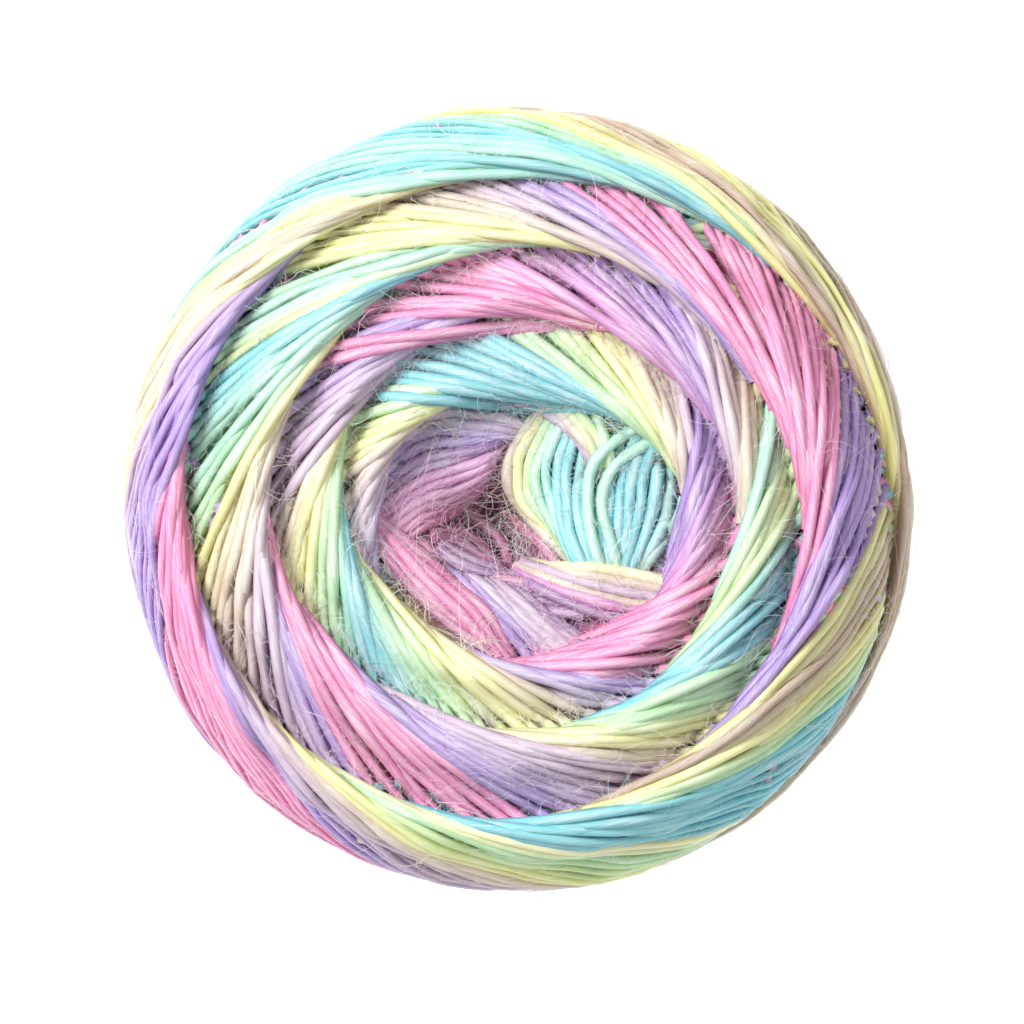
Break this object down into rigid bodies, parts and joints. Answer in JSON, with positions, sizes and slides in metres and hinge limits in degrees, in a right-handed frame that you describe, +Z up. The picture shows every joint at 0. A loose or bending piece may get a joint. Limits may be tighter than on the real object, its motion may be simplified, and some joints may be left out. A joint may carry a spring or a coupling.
{
  "type": "ball of self-striping alpaca blend yarn",
  "caption": "Centre-pull ball of soft self-striping yarn, wound in lapping bundles that spiral out from a central pit, lying on one end.",
  "frame": {"origin": "middle of the underside, on the surface that the ball lies on", "axes": "+Z up along the winding's axis, out of the pit; +X and +Y across the ball"},
  "size_m": [0.1102, 0.1102, 0.0745],
  "materials": {
    "yarn": "soft brushed alpaca blend in pale pink, purple, lilac, beige, yellow, green and aqua lengths"
  },
  "bodies": {
    "root": {"wound_yarn": "yarn"}
  },
  "joints": []
}
